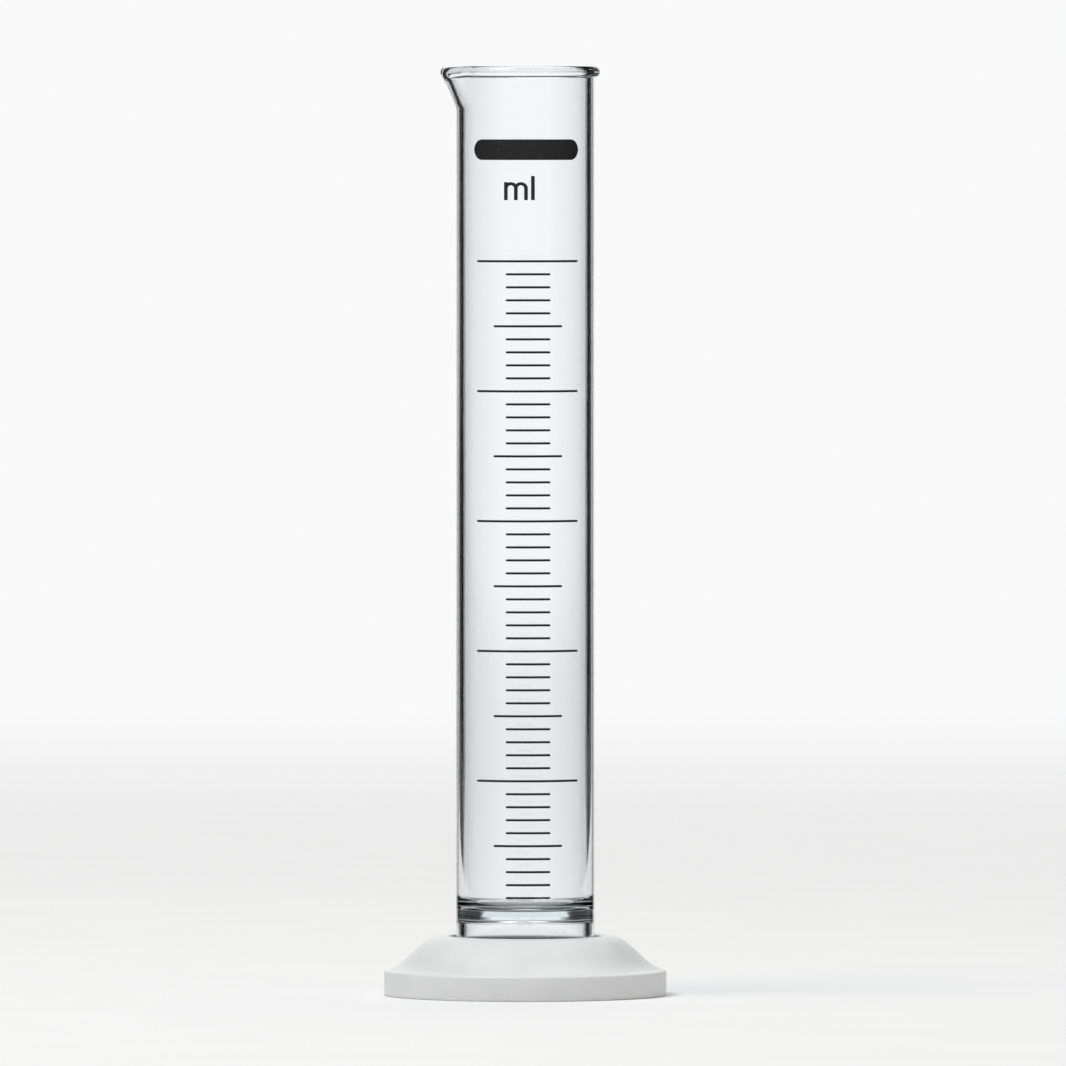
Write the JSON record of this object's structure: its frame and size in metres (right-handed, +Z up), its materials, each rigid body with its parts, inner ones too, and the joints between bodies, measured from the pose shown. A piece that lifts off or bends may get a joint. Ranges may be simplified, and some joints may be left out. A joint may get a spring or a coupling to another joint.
{
  "type": "graduated cylinder",
  "caption": "Clear measuring cylinder with a pouring spout and a raised-line scale, plugged into a round moulded foot through a soft grip sleeve.",
  "frame": {"origin": "on the tube's axis, in the plane that the foot stands on", "axes": "+Z up along the tube; the pouring spout points along -X; the scale faces -Y, turned 2.5 degrees towards +X"},
  "size_m": [0.0522, 0.0522, 0.172],
  "materials": {
    "tube": "clear moulded polymethylpentene, polished inside and out, with dark lines on the raised scale",
    "foot": "natural white moulded polypropylene, satin",
    "grip_sleeve": "soft dark grey elastomer, matt",
    "ink": "black screen ink on the scale's raised lines, the bar and the unit"
  },
  "bodies": {
    "foot": {"foot": "foot"},
    "sleeve": {"grip_sleeve": "grip_sleeve"},
    "tube": {"tube": "tube"}
  },
  "joints": [
    {"name": "tube_turn", "type": "hinge", "parent": "foot", "child": "sleeve", "pos_m": [0, 0, 0.0021], "axis": [0, 0, 1], "continuous": true},
    {"name": "tube_lift", "type": "slide", "parent": "sleeve", "child": "tube", "axis": [0, 0, 1], "range_m": [0, 0.028]}
  ]
}
